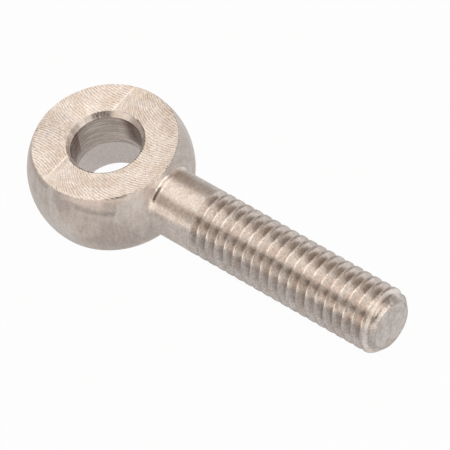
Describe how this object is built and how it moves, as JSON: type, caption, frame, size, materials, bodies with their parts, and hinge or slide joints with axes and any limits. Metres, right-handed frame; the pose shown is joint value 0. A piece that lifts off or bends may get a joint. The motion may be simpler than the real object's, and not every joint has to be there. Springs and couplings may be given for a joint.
{
  "type": "rod end",
  "caption": "Eye bolt rod end: a flattened ball head with a cross bore on a short plain neck and a right-hand threaded shank.",
  "frame": {"origin": "centre of the cross bore, midway between the head's two flats", "axes": "+Z along the bore, square to the flats; +X along the shank to its free end; +Y completes the right-hand frame"},
  "size_m": [0.0384, 0.0146, 0.007],
  "materials": {
    "turned_steel": "turned and milled stainless steel, satin, slightly warm"
  },
  "bodies": {
    "root": {"rod_end": "turned_steel"}
  },
  "joints": []
}
